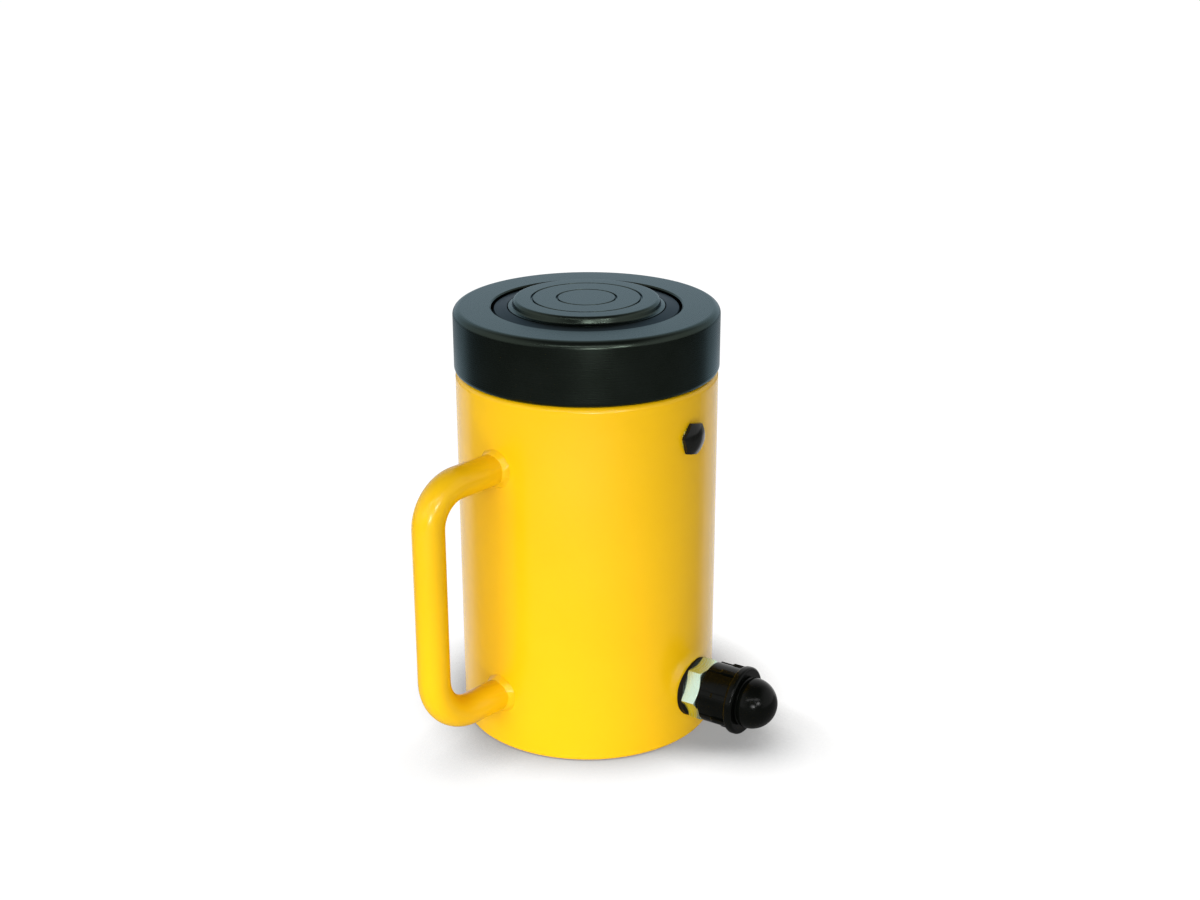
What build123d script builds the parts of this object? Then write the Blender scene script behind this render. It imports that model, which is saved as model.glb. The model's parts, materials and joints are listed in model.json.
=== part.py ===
from build123d import *
import os
from math import cos, radians, sin, sqrt

# Locking collar hydraulic jack: a single-acting cylinder whose threaded plunger carries a lock nut.
# Millimetres. The origin is the centre of the base, +Z runs up the cylinder's axis and +X points
# out along the oil port. Angles are counted from +X, turning towards +Y.

# Cylinder body
body_radius = 82.5
bore_radius = 65.0
base_thickness = 24.0
stroke = 150.0
base_rounding = 2.6
rim_rounding = 3.5
mouth_chamfer = 0.8
floor_rounding = 3.0

# Guide bush, screwed into the mouth of the bore
guide_height = 22.0
guide_recess = 0.5
guide_thread_radius = 69.0
guide_fit = 0.1
guide_chamfer = 0.6
guide_bore_gap = 0.5
strip_height = 12.0
strip_thickness = 2.5
strip_fit = 0.08
ring_split = 1.5
split_slant = 30.0
spanner_hole_radius = 3.0
spanner_hole_depth = 6.0

# Plunger: the piston head at the bottom and the threaded stem above it
stem_radius = 58.0
stem_chamfer = 0.6
head_height = 38.5
head_gap = 0.3
foot_radius = 60.0
foot_height = 10.0
foot_bevel = 4.0
wear_ring_bottom = 16.0
wear_ring_height = 6.0
wear_ring_thickness = 2.7
ring_slack = 0.05
seal_bottom = 24.0
seal_height = 8.0
seal_depth = 7.7
seal_lip_bevel = 0.8
backup_height = 2.5
energiser_radius = 1.45
plunger_set_down = 0.5

# Lock nut
nut_overhang = 0.75
nut_height = 40.5
nut_top_rounding = 4.5
nut_bottom_rounding = 3.5
nut_thread_gap = 0.5
nut_bore_chamfer = 0.8

# Tilt saddle, on a spherical seat in the plunger's top
saddle_proud = 5.0
saddle_top_radius = 44.8
saddle_foot_radius = 46.0
saddle_top_rounding = 2.5
saddle_sphere_radius = 60.0
seat_gap = 0.3
seat_rim_radius = 49.5
saddle_groove_radii = (18.4, 34.0)
saddle_groove_width = 0.9
saddle_groove_depth = 0.8
spigot_radius = 11.0
spigot_length = 17.0
lip_radius = 16.8
lip_thickness = 4.5
pocket_radius = 24.5
pocket_depth = 16.5
retainer_cord_radius = 4.0
retainer_ring_radius = 13.5
retainer_drop = 2.5

# Vent plug, just under the guide bush
vent_angle = -6.3
vent_below_guide = 6.6
vent_hole_radius = 2.5
vent_spot_radius = 9.4
vent_thread_radius = 6.5
vent_seal_radius = 9.0
vent_seal_thickness = 1.2
vent_hex_across = 19.0
vent_hex_turn = -13.0
vent_head_height = 4.8
vent_dome_radius = 20.0

# Oil port and coupler
port_height = 33.2
port_hole_radius = 3.5
port_spot_radius = 19.2
port_washer_radius = 18.8
port_washer_thickness = 3.5
thread_fit = 0.1
thread_end_wall = 3.0
thread_relief = 1.0
stub_radius = 8.5
coupler_hex_across = 34.0
coupler_hex_height = 10.9
coupler_hex_turn = 4.3
hex_chamfer_height = 2.0
hex_chamfer_set_in = 0.4
nose_radius = 15.5
nose_length = 18.8
socket_radius = 10.0
socket_depth = 11.0
o_ring_cord_radius = 1.2
o_ring_from_mouth = 5.5
o_ring_stand_in = 0.8
valve_bore_radius = 6.0
throat_radius = 3.5
throat_length = 2.5

# Check valve inside the coupler
poppet_gap = 0.3
poppet_nose_radius = 2.6
poppet_nose_reach = 4.0
poppet_nose_rounding = 0.8
poppet_body_length = 6.0
poppet_tail_radius = 2.6
poppet_tail_length = 7.0
retainer_thickness = 2.5
retainer_set_in = 0.5
retainer_hole_radius = 1.1
retainer_hole_ring = 3.6
retainer_hole_count = 3
spring_wire_radius = 0.6
spring_coil_radius = 4.2
spring_turns = 6.0
spring_end_gap = 0.05

# Dust cap
cap_start_gap = 0.5
cap_skirt_radius = 19.2
cap_skirt_rounding = 0.5
cap_thread_gap = 0.3
cap_flange_radius = 21.8
cap_flange_thickness = 5.7
cap_flange_rounding = 1.9
cap_flange_overlap = 1.0
cap_neck_radius = 14.2
cap_neck_length = 1.6
cap_neck_taper = 1.1
cap_dome_radius = 16.2
cap_dome_set_in = 2.4
cap_hollow_radius = 9.0
cap_end_wall = 11.0
cap_seal_thickness = 1.5
cap_seal_gap = 0.3
cap_rib_count = 7
cap_rib_width = 3.2
cap_rib_low = 0.4
cap_rib_high = 1.6
cap_rib_step = 9.0
cap_rib_ramp = 0.5
cap_rib_sink = 1.0
cap_rib_turn = 54.0

# Carry handle
handle_angle = -99.4
handle_bar_radius = 10.0
handle_reach = 55.0
handle_low_height = 37.0
handle_high_height = 189.5
handle_low_bend = 30.0
handle_high_bend = 24.0
weld_leg = 4.0

# Base mounting holes
base_hole_circle = 140.0
base_hole_radius = 5.1
base_hole_depth = 19.0
base_hole_count = 4
base_hole_angle = 45.0

# How far a cutting or a joining rod runs past the face it meets
overrun = 1.0

# Places that follow from the sizes above
head_top = base_thickness + head_height
guide_bottom = head_top + stroke
guide_top = guide_bottom + guide_height
body_height = guide_top + guide_recess
nut_radius = body_radius + nut_overhang
nut_top = body_height + nut_height
plunger_top = nut_top - plunger_set_down
saddle_top = plunger_top + saddle_proud
vent_height = guide_bottom - vent_below_guide
seat_radius = saddle_sphere_radius + seat_gap
sphere_centre = plunger_top + sqrt(seat_radius**2 - seat_rim_radius**2)
seat_bottom = sphere_centre - seat_radius
lip_bottom = seat_bottom - lip_thickness
pocket_bottom = lip_bottom - pocket_depth
saddle_bottom = sphere_centre - saddle_sphere_radius
retainer_height = lip_bottom - retainer_drop - retainer_cord_radius
vent_face = sqrt(body_radius**2 - vent_spot_radius**2)
vent_head_start = vent_face + vent_seal_thickness
thread_hole_end = bore_radius + thread_end_wall
thread_end = thread_hole_end + thread_relief
port_face = sqrt(body_radius**2 - port_spot_radius**2)
hex_start = port_face + port_washer_thickness
hex_end = hex_start + coupler_hex_height
nose_end = hex_end + nose_length
socket_floor = nose_end - socket_depth
seat_cone_end = socket_floor - throat_length
seat_cone_start = seat_cone_end - (valve_bore_radius - throat_radius)
poppet_radius = valve_bore_radius - poppet_gap
poppet_cone_sum = seat_cone_end + throat_radius - poppet_gap * sqrt(2)
poppet_cone_start = poppet_cone_sum - poppet_radius
poppet_back = poppet_cone_start - poppet_body_length
retainer_start = thread_end + retainer_set_in
retainer_end = retainer_start + retainer_thickness
cap_start = hex_end + cap_start_gap
cap_seal_start = nose_end + cap_seal_gap
cap_inner_end = cap_seal_start + cap_seal_thickness
cap_flange_start = cap_inner_end - cap_flange_overlap
cap_flange_end = cap_flange_start + cap_flange_thickness
cap_dome_start = cap_flange_end + cap_neck_length
cap_dome_centre = cap_dome_start + cap_dome_set_in
handle_line = body_radius + handle_reach


def outward(angle, height):
    """Frame on the cylinder's axis: local Z points out at this angle, local Y up, local X level."""
    direction = (cos(radians(angle)), sin(radians(angle)), 0)
    tangent = (-sin(radians(angle)), cos(radians(angle)), 0)
    return Plane(origin=(0, 0, height), x_dir=tangent, z_dir=direction)


def turned(points, roundings=None):
    """Solid turned about local Z from (radius, height) points, some of its corners rounded."""
    face = make_face(Plane.XZ * Polyline(*points, close=True))
    for index, radius in (roundings or {}).items():
        corner = Vector(points[index][0], 0, points[index][1])
        face = fillet(face.vertices().sort_by_distance(corner)[0], radius)
    return revolve(face, axis=Axis.Z)


def rod(radius, start, end):
    """Round rod along local Z between two distances."""
    return Pos(0, 0, start) * Cylinder(radius, end - start, align=(Align.CENTER, Align.CENTER, Align.MIN))


def tube(inner, outer, start, end):
    """Plain ring about local Z."""
    return turned([(inner, start), (outer, start), (outer, end), (inner, end)])


def split(ring, radius, height):
    """Cuts a ring open with a slanted slot, so that it can be sprung over a shoulder."""
    slot = Box(4 * strip_thickness + 2 * seal_depth, ring_split, 4 * strip_height)
    return ring - Pos(radius, 0, height) * Rot(X=split_slant) * slot


def hexagon(across, start, end, turn):
    """Hexagonal prism along local Z, a corner turned this far from local X."""
    flat = RegularPolygon(across / 2, 6, major_radius=False, rotation=turn)
    return Pos(0, 0, start) * extrude(flat, end - start)


def cylinder_body():
    body = turned(
        [
            (0, 0),
            (body_radius, 0),
            (body_radius, body_height),
            (guide_thread_radius + mouth_chamfer, body_height),
            (guide_thread_radius, body_height - mouth_chamfer),
            (guide_thread_radius, guide_bottom),
            (bore_radius, guide_bottom),
            (bore_radius, base_thickness),
            (0, base_thickness),
        ],
        {1: base_rounding, 2: rim_rounding, 7: floor_rounding},
    )
    port = outward(0, port_height)
    body -= port * rod(port_spot_radius, port_face, body_radius + overrun)
    body -= port * rod(stub_radius + thread_fit, thread_hole_end, port_face)
    body -= port * rod(port_hole_radius, foot_radius, port_face)
    vent = outward(vent_angle, vent_height)
    body -= vent * rod(vent_spot_radius, vent_face, body_radius + overrun)
    body -= vent * rod(vent_thread_radius + thread_fit, thread_hole_end, vent_face)
    body -= vent * rod(vent_hole_radius, foot_radius, vent_face)
    hole = rod(base_hole_radius, 0, base_hole_depth)
    for index in range(base_hole_count):
        turn = Rot(Z=base_hole_angle + index * 360 / base_hole_count)
        body -= turn * Pos(base_hole_circle / 2, 0, 0) * hole
    return body


def guide_bush():
    inner = stem_radius + guide_bore_gap
    outer = guide_thread_radius - guide_fit
    strip_bottom = guide_bottom + (guide_height - strip_height) / 2
    strip_top = strip_bottom + strip_height
    groove = stem_radius + strip_fit + strip_thickness
    bush = turned(
        [
            (inner, guide_bottom),
            (outer - guide_chamfer, guide_bottom),
            (outer, guide_bottom + guide_chamfer),
            (outer, guide_top - guide_chamfer),
            (outer - guide_chamfer, guide_top),
            (inner, guide_top),
            (inner, strip_top),
            (groove, strip_top),
            (groove, strip_bottom),
            (inner, strip_bottom),
        ]
    )
    spanner_hole = rod(spanner_hole_radius, guide_top - spanner_hole_depth, guide_top)
    hole_circle = (groove + guide_thread_radius) / 2
    for side in (-1, 1):
        bush -= Pos(0, side * hole_circle, 0) * spanner_hole
    return bush


def bush_bearing_strip():
    bottom = guide_bottom + (guide_height - strip_height) / 2
    inner = stem_radius + strip_fit
    strip = tube(inner, inner + strip_thickness, bottom, bottom + strip_height)
    return split(strip, inner, bottom + strip_height / 2)


def plunger():
    head = bore_radius - head_gap
    wear_floor = bore_radius - ring_slack - wear_ring_thickness - ring_slack
    wear_low = base_thickness + wear_ring_bottom - ring_slack
    wear_high = wear_low + wear_ring_height + 2 * ring_slack
    seal_floor = bore_radius - ring_slack - seal_depth - ring_slack
    seal_low = base_thickness + seal_bottom - ring_slack
    seal_high = seal_low + seal_height + backup_height + 2 * ring_slack
    stem = turned(
        [
            (0, base_thickness),
            (foot_radius, base_thickness),
            (foot_radius, base_thickness + foot_height),
            (head, base_thickness + foot_height + foot_bevel),
            (head, wear_low),
            (wear_floor, wear_low),
            (wear_floor, wear_high),
            (head, wear_high),
            (head, seal_low),
            (seal_floor, seal_low),
            (seal_floor, seal_high),
            (head, seal_high),
            (head, head_top),
            (stem_radius, head_top),
            (stem_radius, plunger_top - stem_chamfer),
            (stem_radius - stem_chamfer, plunger_top),
            (0, plunger_top),
        ]
    )
    stem -= Pos(0, 0, sphere_centre) * Sphere(seat_radius)
    stem -= rod(lip_radius, lip_bottom, plunger_top)
    stem -= rod(pocket_radius, pocket_bottom, lip_bottom)
    return stem


def piston_wear_ring():
    bottom = base_thickness + wear_ring_bottom
    outer = bore_radius - ring_slack
    ring = tube(outer - wear_ring_thickness, outer, bottom, bottom + wear_ring_height)
    return split(ring, outer, bottom + wear_ring_height / 2)


def seal_slot_radius():
    """Radius of the middle of the seal's section, where its groove takes the energiser."""
    return bore_radius - ring_slack - seal_depth / 2


def piston_seal():
    bottom = base_thickness + seal_bottom
    outer = bore_radius - ring_slack
    slot = energiser_radius + ring_slack
    slot_top = bottom + seal_height / 2
    middle = seal_slot_radius()
    lip = seal_lip_bevel
    return turned(
        [
            (outer - seal_depth, bottom + lip),
            (outer - seal_depth + lip, bottom),
            (middle - slot, bottom),
            (middle - slot, slot_top),
            (middle + slot, slot_top),
            (middle + slot, bottom),
            (outer - lip, bottom),
            (outer, bottom + lip),
            (outer, bottom + seal_height),
            (outer - seal_depth, bottom + seal_height),
        ]
    )


def seal_energiser():
    height = base_thickness + seal_bottom + seal_height / 2 - energiser_radius
    return Pos(0, 0, height) * Torus(seal_slot_radius(), energiser_radius)


def piston_backup_ring():
    bottom = base_thickness + seal_bottom + seal_height
    outer = bore_radius - ring_slack
    ring = tube(outer - seal_depth, outer, bottom, bottom + backup_height)
    return split(ring, outer, bottom + backup_height / 2)


def lock_nut():
    bore = stem_radius + nut_thread_gap
    return turned(
        [
            (bore + nut_bore_chamfer, body_height),
            (nut_radius, body_height),
            (nut_radius, nut_top),
            (bore + nut_bore_chamfer, nut_top),
            (bore, nut_top - nut_bore_chamfer),
            (bore, body_height + nut_bore_chamfer),
        ],
        {1: nut_bottom_rounding, 2: nut_top_rounding},
    )


def tilt_saddle():
    block = turned(
        [
            (0, saddle_bottom - overrun),
            (saddle_foot_radius, saddle_bottom - overrun),
            (saddle_foot_radius, plunger_top),
            (saddle_top_radius, saddle_top),
            (0, saddle_top),
        ],
        {3: saddle_top_rounding},
    )
    saddle = block & (Pos(0, 0, sphere_centre) * Sphere(saddle_sphere_radius))
    spigot = rod(spigot_radius, saddle_bottom - spigot_length, saddle_bottom + 2 * overrun)
    saddle += spigot
    groove_cord = Torus(retainer_ring_radius, retainer_cord_radius + ring_slack)
    saddle -= Pos(0, 0, retainer_height) * groove_cord
    for radius in saddle_groove_radii:
        half = saddle_groove_width / 2
        saddle -= tube(radius - half, radius + half, saddle_top - saddle_groove_depth, saddle_top + overrun)
    return saddle


def saddle_retaining_ring():
    return Pos(0, 0, retainer_height) * Torus(retainer_ring_radius, retainer_cord_radius)


def vent_plug():
    end = vent_head_start + vent_head_height
    head = hexagon(vent_hex_across, vent_head_start, end, vent_hex_turn)
    head &= Pos(0, 0, end - vent_dome_radius) * Sphere(vent_dome_radius)
    shank = rod(vent_thread_radius, thread_end, vent_head_start + overrun)
    return outward(vent_angle, vent_height) * (head + shank)


def vent_plug_seal():
    inner = vent_thread_radius + thread_fit
    washer = tube(inner, vent_seal_radius, vent_face, vent_head_start)
    return outward(vent_angle, vent_height) * washer


def port_seal_washer():
    washer = tube(stub_radius + thread_fit, port_washer_radius, port_face, hex_start)
    return outward(0, port_height) * washer


def coupler_body():
    corner = coupler_hex_across / sqrt(3)
    flat = coupler_hex_across / 2
    nut = hexagon(coupler_hex_across, hex_start, hex_end, coupler_hex_turn)
    nut &= turned(
        [
            (0, hex_start),
            (corner + overrun, hex_start),
            (corner + overrun, hex_end - hex_chamfer_height),
            (corner, hex_end - hex_chamfer_height),
            (flat - hex_chamfer_set_in, hex_end),
            (0, hex_end),
        ]
    )
    coupler = nut + rod(nose_radius, hex_end - overrun, nose_end)
    coupler += rod(stub_radius, thread_end, hex_start + overrun)
    coupler -= turned(
        [
            (0, thread_end - overrun),
            (valve_bore_radius, thread_end - overrun),
            (valve_bore_radius, seat_cone_start),
            (throat_radius, seat_cone_end),
            (throat_radius, socket_floor),
            (socket_radius, socket_floor),
            (socket_radius, nose_end + overrun),
            (0, nose_end + overrun),
        ]
    )
    o_ring_centre = socket_radius + o_ring_cord_radius - o_ring_stand_in
    groove = Torus(o_ring_centre, o_ring_cord_radius + ring_slack)
    coupler -= Pos(0, 0, nose_end - o_ring_from_mouth) * groove
    return outward(0, port_height) * coupler


def coupler_o_ring():
    o_ring_centre = socket_radius + o_ring_cord_radius - o_ring_stand_in
    ring = Pos(0, 0, nose_end - o_ring_from_mouth) * Torus(o_ring_centre, o_ring_cord_radius)
    return outward(0, port_height) * ring


def coupler_poppet():
    nose_top = socket_floor + poppet_nose_reach
    poppet = turned(
        [
            (0, poppet_back - poppet_tail_length),
            (poppet_tail_radius, poppet_back - poppet_tail_length),
            (poppet_tail_radius, poppet_back),
            (poppet_radius, poppet_back),
            (poppet_radius, poppet_cone_start),
            (poppet_nose_radius, poppet_cone_sum - poppet_nose_radius),
            (poppet_nose_radius, nose_top),
            (0, nose_top),
        ],
        {6: poppet_nose_rounding},
    )
    return outward(0, port_height) * poppet


def poppet_retainer():
    disc = rod(valve_bore_radius - ring_slack, retainer_start, retainer_end)
    disc -= rod(retainer_hole_radius, retainer_start, retainer_end)
    for index in range(retainer_hole_count):
        hole = rod(retainer_hole_radius, retainer_start, retainer_end)
        disc -= Rot(Z=index * 360 / retainer_hole_count) * Pos(retainer_hole_ring, 0, 0) * hole
    return outward(0, port_height) * disc


def poppet_spring():
    start = retainer_end + spring_wire_radius + spring_end_gap
    end = poppet_back - spring_wire_radius - spring_end_gap
    pitch = (end - start) / spring_turns
    path = Helix(pitch, end - start, spring_coil_radius)
    wire = Plane(origin=path @ 0, z_dir=path % 0) * Circle(spring_wire_radius)
    spring = Pos(0, 0, start) * sweep(wire, path)
    return outward(0, port_height) * spring


def dust_cap():
    inner = nose_radius + cap_thread_gap
    shell = turned(
        [
            (inner, cap_start),
            (cap_skirt_radius, cap_start),
            (cap_skirt_radius, cap_flange_start),
            (cap_flange_radius, cap_flange_start),
            (cap_flange_radius, cap_flange_end),
            (cap_neck_radius + cap_neck_taper, cap_flange_end),
            (cap_neck_radius, cap_flange_end + cap_neck_taper),
            (cap_neck_radius, cap_dome_centre),
            (0, cap_dome_centre),
            (0, cap_inner_end),
            (inner, cap_inner_end),
        ],
        {3: cap_flange_rounding, 4: cap_flange_rounding, 1: cap_skirt_rounding},
    )
    dome = Pos(0, 0, cap_dome_centre) * Sphere(cap_dome_radius)
    dome &= rod(cap_dome_radius + overrun, cap_dome_start, cap_dome_centre + cap_dome_radius + overrun)
    cap = shell + dome
    hollow_end = cap_dome_centre + cap_dome_radius - cap_end_wall
    cap -= rod(cap_hollow_radius, cap_inner_end - overrun, hollow_end)
    rib_foot = cap_start + cap_skirt_rounding
    rib_step = cap_start + cap_rib_step
    rib_end = cap_flange_start + cap_rib_sink
    low, high, sunk = (cap_skirt_radius + rise for rise in (cap_rib_low, cap_rib_high, -cap_rib_sink))
    rib_outline = Polyline(
        (sunk, rib_foot),
        (low, rib_foot),
        (low, rib_step),
        (high, rib_step + cap_rib_ramp),
        (high, rib_end),
        (sunk, rib_end),
        close=True,
    )
    rib = extrude(make_face(Plane.XZ * rib_outline), cap_rib_width / 2, both=True)
    for index in range(cap_rib_count):
        cap += Rot(Z=cap_rib_turn + index * 360 / cap_rib_count) * rib
    return outward(0, port_height) * cap


def cap_seal_disc():
    disc = rod(nose_radius + cap_thread_gap - ring_slack, cap_seal_start, cap_inner_end)
    return outward(0, port_height) * disc


def carry_handle():
    inside = bore_radius
    frame = outward(handle_angle, 0)
    path = FilletPolyline(
        frame.from_local_coords((0, handle_low_height, inside)),
        frame.from_local_coords((0, handle_low_height, handle_line)),
        frame.from_local_coords((0, handle_high_height, handle_line)),
        frame.from_local_coords((0, handle_high_height, inside)),
        radius=[handle_low_bend, handle_high_bend],
    )
    section = Plane(origin=path @ 0, z_dir=path % 0) * Circle(handle_bar_radius)
    bar = sweep(section, path)
    return bar - rod(body_radius, 0, body_height)


def handle_weld(height):
    """Fillet weld that runs round one leg of the handle where it meets the body."""
    margin = handle_bar_radius + 2 * weld_leg
    wall = rod(body_radius, height - margin, height + margin)
    leg = outward(handle_angle, height) * rod(handle_bar_radius, bore_radius, body_radius + margin)
    joined = wall + leg
    seam = [edge for edge in joined.edges() if edge.geom_type not in (GeomType.LINE, GeomType.CIRCLE)]
    return fillet(seam, weld_leg) - wall - leg


pieces = {
    "cylinder_body": cylinder_body(),
    "guide_bush": guide_bush(),
    "bush_bearing_strip": bush_bearing_strip(),
    "plunger": plunger(),
    "piston_wear_ring": piston_wear_ring(),
    "piston_seal": piston_seal(),
    "seal_energiser": seal_energiser(),
    "piston_backup_ring": piston_backup_ring(),
    "lock_nut": lock_nut(),
    "tilt_saddle": tilt_saddle(),
    "saddle_retaining_ring": saddle_retaining_ring(),
    "vent_plug": vent_plug(),
    "vent_plug_seal": vent_plug_seal(),
    "port_seal_washer": port_seal_washer(),
    "coupler_body": coupler_body(),
    "coupler_o_ring": coupler_o_ring(),
    "coupler_poppet": coupler_poppet(),
    "poppet_retainer": poppet_retainer(),
    "poppet_spring": poppet_spring(),
    "dust_cap": dust_cap(),
    "cap_seal_disc": cap_seal_disc(),
    "carry_handle": carry_handle(),
    "handle_weld_lower": handle_weld(handle_low_height),
    "handle_weld_upper": handle_weld(handle_high_height),
}

os.makedirs("parts", exist_ok=True)
for name, piece in pieces.items():
    export_step(piece, f"parts/{name}.step")
    print(name, round(piece.volume, 1))
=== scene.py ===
# %% [markdown]
# # A locking collar hydraulic jack
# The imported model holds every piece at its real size, in metres: the origin is the centre of the
# base, +Z runs up the cylinder and +X points out along the oil port. This script gives the pieces
# their finishes, models the ones that carry threads and mouldings, and sets the studio round them.

# %% Load the frame
import json
from math import acos, cos, pi, radians, sin, tan

import bpy
from mathutils import Matrix, Vector


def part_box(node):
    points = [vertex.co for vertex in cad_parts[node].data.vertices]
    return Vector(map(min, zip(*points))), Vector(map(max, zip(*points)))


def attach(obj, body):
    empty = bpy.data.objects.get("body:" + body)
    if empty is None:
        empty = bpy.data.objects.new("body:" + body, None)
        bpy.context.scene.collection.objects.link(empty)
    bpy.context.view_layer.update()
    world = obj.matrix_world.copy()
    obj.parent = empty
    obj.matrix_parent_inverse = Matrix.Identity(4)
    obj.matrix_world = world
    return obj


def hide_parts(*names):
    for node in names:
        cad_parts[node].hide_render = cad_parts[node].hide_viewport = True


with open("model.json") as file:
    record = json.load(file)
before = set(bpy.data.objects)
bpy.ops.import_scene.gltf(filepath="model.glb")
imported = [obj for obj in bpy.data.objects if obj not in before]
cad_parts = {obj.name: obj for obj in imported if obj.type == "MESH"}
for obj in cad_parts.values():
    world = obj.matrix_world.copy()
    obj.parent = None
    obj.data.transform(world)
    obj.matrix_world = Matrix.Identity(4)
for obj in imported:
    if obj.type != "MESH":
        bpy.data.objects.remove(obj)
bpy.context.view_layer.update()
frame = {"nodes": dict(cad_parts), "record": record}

# %% [markdown]
# The sizes that the pieces share come from the frame's own boxes, so that a new piece always stands
# where its solid stands. A box is read as its lowest and its highest corner.

# %% Measure the frame
MM = 0.001
body_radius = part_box("cylinder_body")[1].y
body_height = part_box("cylinder_body")[1].z
nut_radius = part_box("lock_nut")[1].x
nut_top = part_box("lock_nut")[1].z
plunger_foot, plunger_top = (corner.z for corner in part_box("plunger"))
port_height = (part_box("dust_cap")[0].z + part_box("dust_cap")[1].z) / 2
upright = Vector((0, 0, 1))
outward = Vector((1, 0, 0))
port_centre = Vector((0, 0, port_height))
print("body", round(body_radius, 4), "x", round(body_height, 4), "port at", round(port_height, 4))


# %% [markdown]
# ## Shader helpers
# Every finish is a node tree. A few short functions add a node, join two sockets and set values,
# so that the trees below read as lists of what feeds what.

# %% Node helpers
def add_node(tree, kind, **settings):
    """Adds a node and sets its properties and its inputs, by name."""
    node = tree.nodes.new(kind)
    for name, value in settings.items():
        if hasattr(node, name):
            setattr(node, name, value)
        else:
            node.inputs[name.replace("_", " ")].default_value = value
    return node


def join(tree, source, target):
    """Links an output socket to an input socket."""
    tree.links.new(source, target)


def calculate(tree, operation, first, second=None):
    """Adds a Math node; each operand is a socket or a number."""
    node = tree.nodes.new("ShaderNodeMath")
    node.operation = operation
    for slot, operand in enumerate((first, second)):
        if operand is None:
            continue
        if isinstance(operand, (int, float)):
            node.inputs[slot].default_value = operand
        else:
            join(tree, operand, node.inputs[slot])
    return node.outputs[0]


def remap(tree, source, low, high, new_low, new_high):
    """Adds a Map Range node that turns one span of values into another."""
    node = tree.nodes.new("ShaderNodeMapRange")
    join(tree, source, node.inputs["Value"])
    spans = {"From Min": low, "From Max": high, "To Min": new_low, "To Max": new_high}
    for name, value in spans.items():
        node.inputs[name].default_value = value
    return node.outputs["Result"]


# %% [markdown]
# Two effects are shared by many finishes, so each is a node group: the fine rings that a lathe
# leaves round an axis, and a cloudy unevenness of paint, oil and handling, which serves as grain
# when it is made small.

# %% Shared effects
def new_group(name, inputs, output):
    """Makes a shader group with one float output; returns its tree and its two ends."""
    tree = bpy.data.node_groups.new(name, "ShaderNodeTree")
    for socket, kind in inputs:
        tree.interface.new_socket(name=socket, in_out="INPUT", socket_type=kind)
    tree.interface.new_socket(name=output, in_out="OUTPUT", socket_type="NodeSocketFloat")
    return tree, tree.nodes.new("NodeGroupInput"), tree.nodes.new("NodeGroupOutput")


def make_lathe_rings():
    """Fine uneven rings round the vector's Z axis: they change with the radius and the height."""
    tree, start, end = new_group(
        "lathe_rings", [("Vector", "NodeSocketVector"), ("Spacing", "NodeSocketFloat")], "Rings"
    )
    parts = add_node(tree, "ShaderNodeSeparateXYZ")
    join(tree, start.outputs["Vector"], parts.inputs[0])
    square_x = calculate(tree, "MULTIPLY", parts.outputs["X"], parts.outputs["X"])
    square_y = calculate(tree, "MULTIPLY", parts.outputs["Y"], parts.outputs["Y"])
    radius = calculate(tree, "SQRT", calculate(tree, "ADD", square_x, square_y))
    across = calculate(tree, "ADD", radius, parts.outputs["Z"])
    turns = calculate(tree, "DIVIDE", across, start.outputs["Spacing"])
    noise = add_node(tree, "ShaderNodeTexNoise", noise_dimensions="1D", Scale=1.0, Detail=3.0)
    join(tree, turns, noise.inputs["W"])
    join(tree, noise.outputs[0], end.inputs["Rings"])
    return tree


def make_clouds():
    """Soft patches of unevenness at a given size, from 0 to 1."""
    tree, start, end = new_group(
        "clouds", [("Vector", "NodeSocketVector"), ("Size", "NodeSocketFloat")], "Clouds"
    )
    scale = calculate(tree, "DIVIDE", 1.0, start.outputs["Size"])
    noise = add_node(tree, "ShaderNodeTexNoise", Detail=4.0, Roughness=0.55)
    join(tree, start.outputs["Vector"], noise.inputs["Vector"])
    join(tree, scale, noise.inputs["Scale"])
    join(tree, remap(tree, noise.outputs[0], 0.3, 0.7, 0.0, 1.0), end.inputs["Clouds"])
    return tree


lathe_rings = make_lathe_rings()
clouds = make_clouds()


# %% [markdown]
# A group is placed in a material with its own values. Bump takes real depths in metres, so a finish
# looks the same on a small plug as on the big body.

# %% Place an effect
def place_group(tree, group, vector, **values):
    """Puts a group in a material's tree, feeds it a vector and sets its other inputs."""
    node = tree.nodes.new("ShaderNodeGroup")
    node.node_tree = group
    join(tree, vector, node.inputs["Vector"])
    for name, value in values.items():
        node.inputs[name].default_value = value
    return node.outputs[0]


def bump(tree, height, depth):
    """Adds a Bump node of a real depth in metres and returns its normal."""
    node = add_node(tree, "ShaderNodeBump", Strength=1.0, Distance=depth)
    join(tree, height, node.inputs["Height"])
    return node.outputs["Normal"]


def start_material(name, along=None):
    """Makes a material; returns it with its tree, its shader and its Object coordinates.

    Where along is given, the coordinates are turned so that Z runs along the oil port's axis.
    """
    material = bpy.data.materials.new(name)
    material.use_nodes = True
    tree = material.node_tree
    shader = tree.nodes["Principled BSDF"]
    place = tree.nodes.new("ShaderNodeTexCoord").outputs["Object"]
    if along == "port":
        centred = add_node(tree, "ShaderNodeMapping")
        centred.inputs["Location"].default_value = (0, 0, -port_height)
        turned = add_node(tree, "ShaderNodeMapping")
        turned.inputs["Rotation"].default_value = (0, -pi / 2, 0)
        join(tree, place, centred.inputs["Vector"])
        join(tree, centred.outputs[0], turned.inputs["Vector"])
        place = turned.outputs[0]
    return material, tree, shader, place


def mix_colours(tree, factor, first, second):
    """Blends two colours by a socket and returns the result."""
    node = tree.nodes.new("ShaderNodeMix")
    node.data_type = "RGBA"
    join(tree, factor, node.inputs[0])
    node.inputs[6].default_value = (*first, 1)
    node.inputs[7].default_value = (*second, 1)
    return node.outputs[2]


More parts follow.
